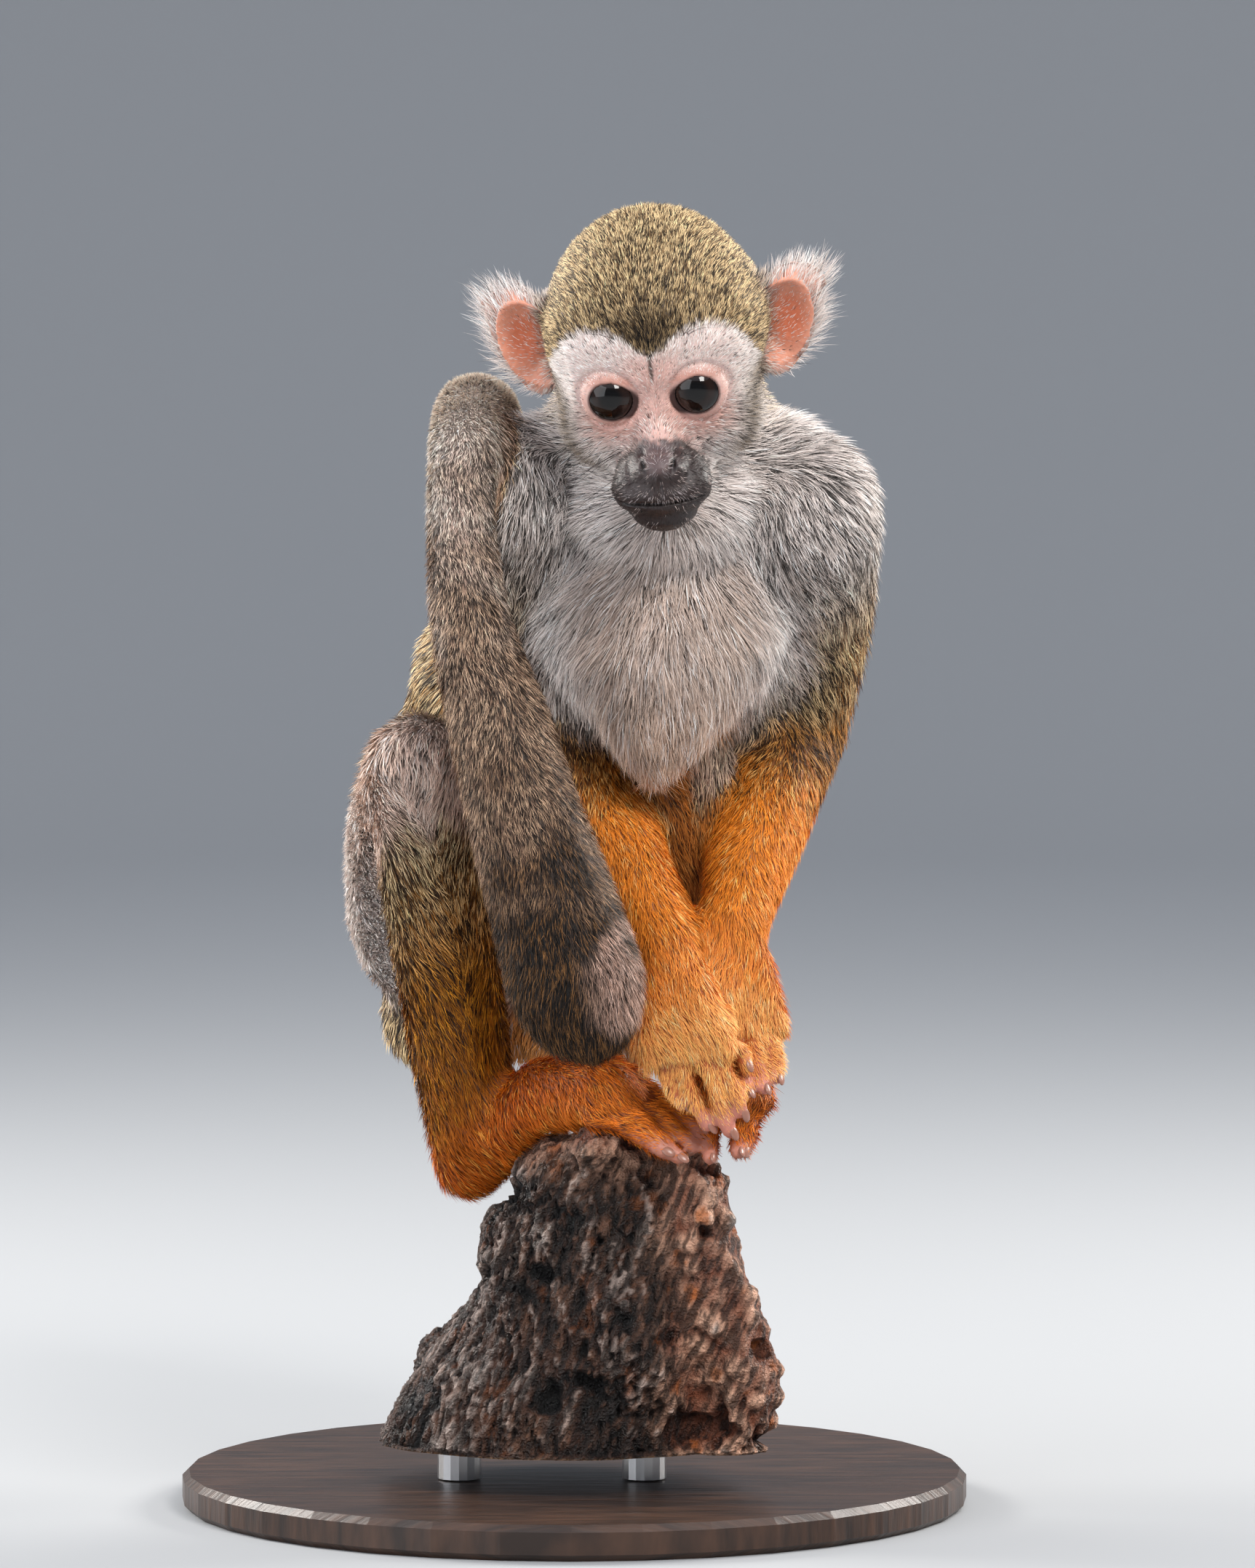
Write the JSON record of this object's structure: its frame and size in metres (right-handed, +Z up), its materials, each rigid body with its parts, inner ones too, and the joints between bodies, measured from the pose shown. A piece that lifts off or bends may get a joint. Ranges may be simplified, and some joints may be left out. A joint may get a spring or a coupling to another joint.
{
  "type": "squirrel monkey on a perch",
  "caption": "Life-size still squirrel monkey crouching with hands and feet on a gnarled branch end, tail brought forward over its right shoulder, on a flat display base.",
  "frame": {"origin": "centre of the underside of the display base, on the surface it stands on", "axes": "+Z up; -Y the way the animal faces; +X towards the animal's own left"},
  "size_m": [0.18, 0.1966, 0.2972],
  "materials": {
    "eye": "wet, almost black",
    "muzzle_skin": "dark bare skin with a few short pale hairs",
    "ear_coat": "pink skin under short white hair",
    "orange_coat": "short dense orange hair",
    "pale_coat": "longer grey-white hair",
    "tail_coat": "thick grey-brown hair with dark tips",
    "olive_coat": "short olive hair flecked with black and gold",
    "perch_wood": "rough weathered wood",
    "stand_wood": "dark stained, satin",
    "stand_steel": "satin"
  },
  "bodies": {
    "root": {"abdomen": "olive_coat", "chest": "pale_coat", "ear_left": "ear_coat", "ear_right": "ear_coat", "eye_left": "eye", "eye_right": "eye", "finger_left_1": "orange_coat", "finger_left_2": "orange_coat", "finger_left_3": "orange_coat", "finger_left_4": "orange_coat", "finger_left_5": "orange_coat", "finger_right_1": "orange_coat", "finger_right_2": "orange_coat", "finger_right_3": "orange_coat", "finger_right_4": "orange_coat", "finger_right_5": "orange_coat", "foot_left": "orange_coat", "foot_right": "orange_coat", "forearm_left": "orange_coat", "forearm_right": "orange_coat", "hand_left": "orange_coat", "hand_right": "orange_coat", "head": "olive_coat", "muzzle": "muzzle_skin", "neck": "pale_coat", "perch": "perch_wood", "shin_left": "olive_coat", "shin_right": "olive_coat", "stand_base": "stand_wood", "stand_rod_1": "stand_steel", "stand_rod_2": "stand_steel", "tail_1": "tail_coat", "tail_2": "tail_coat", "tail_3": "tail_coat", "tail_4": "tail_coat", "tail_5": "tail_coat", "thigh_left": "olive_coat", "thigh_right": "olive_coat", "toe_left_1": "orange_coat", "toe_left_2": "orange_coat", "toe_left_3": "orange_coat", "toe_left_4": "orange_coat", "toe_left_5": "orange_coat", "toe_right_1": "orange_coat", "toe_right_2": "orange_coat", "toe_right_3": "orange_coat", "toe_right_4": "orange_coat", "toe_right_5": "orange_coat", "upper_arm_left": "olive_coat", "upper_arm_right": "olive_coat"}
  },
  "joints": []
}
